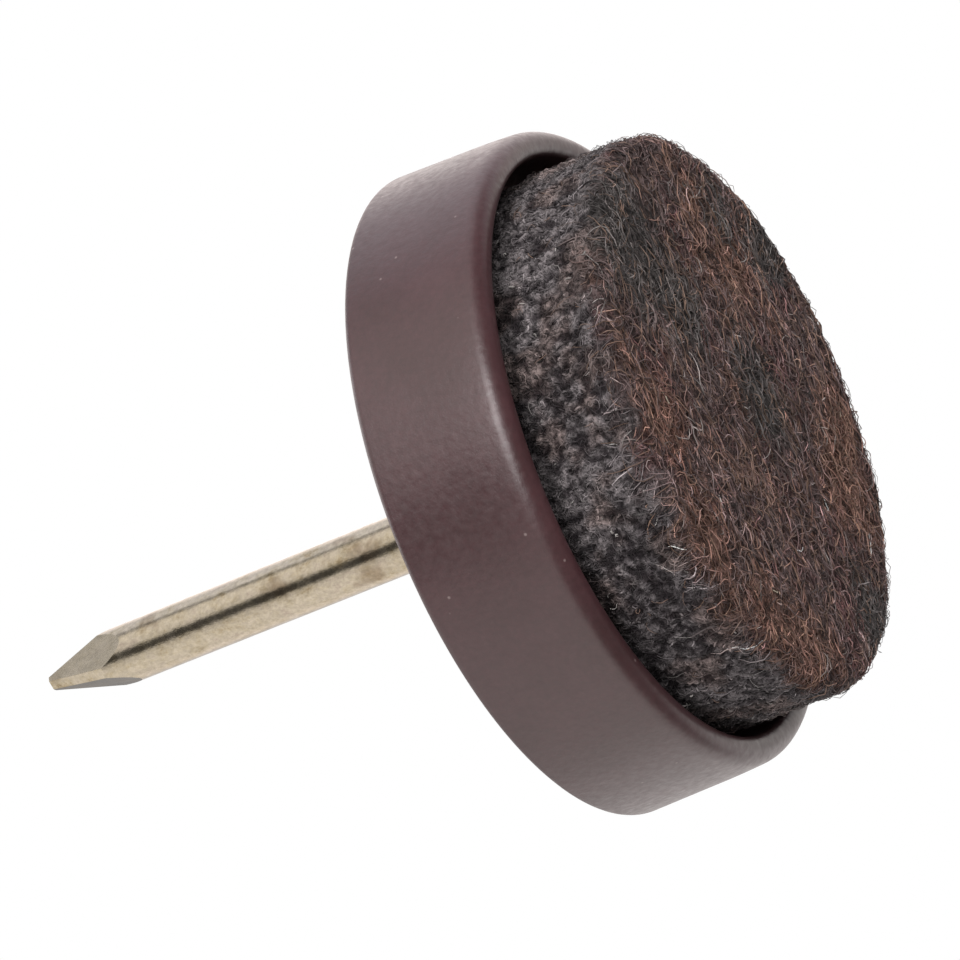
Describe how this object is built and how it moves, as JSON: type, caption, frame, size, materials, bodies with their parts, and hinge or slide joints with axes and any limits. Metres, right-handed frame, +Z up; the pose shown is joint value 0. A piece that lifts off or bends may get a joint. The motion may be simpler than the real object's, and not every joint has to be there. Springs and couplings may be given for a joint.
{
  "type": "nail-on furniture glide",
  "caption": "Round plastic cup with a thick felt disc in its open side and a nail out of its flat side, driven into a furniture leg so that it slides without scratching.",
  "frame": {"origin": "centre of the felt's floor face", "axes": "+Z up the nail, from the floor towards the furniture leg; +X square to one of the narrow flats of the nail's point"},
  "size_m": [0.022, 0.022, 0.027],
  "materials": {
    "brown_plastic": "satin moulded plastic, plum brown",
    "plated_steel": "polished steel wire with a pale brass plating",
    "wool_felt": "coarse pressed wool felt, mixed brown and grey fibres"
  },
  "bodies": {
    "root": {"cup": "brown_plastic", "nail": "plated_steel", "felt_pad": "wool_felt"}
  },
  "joints": []
}
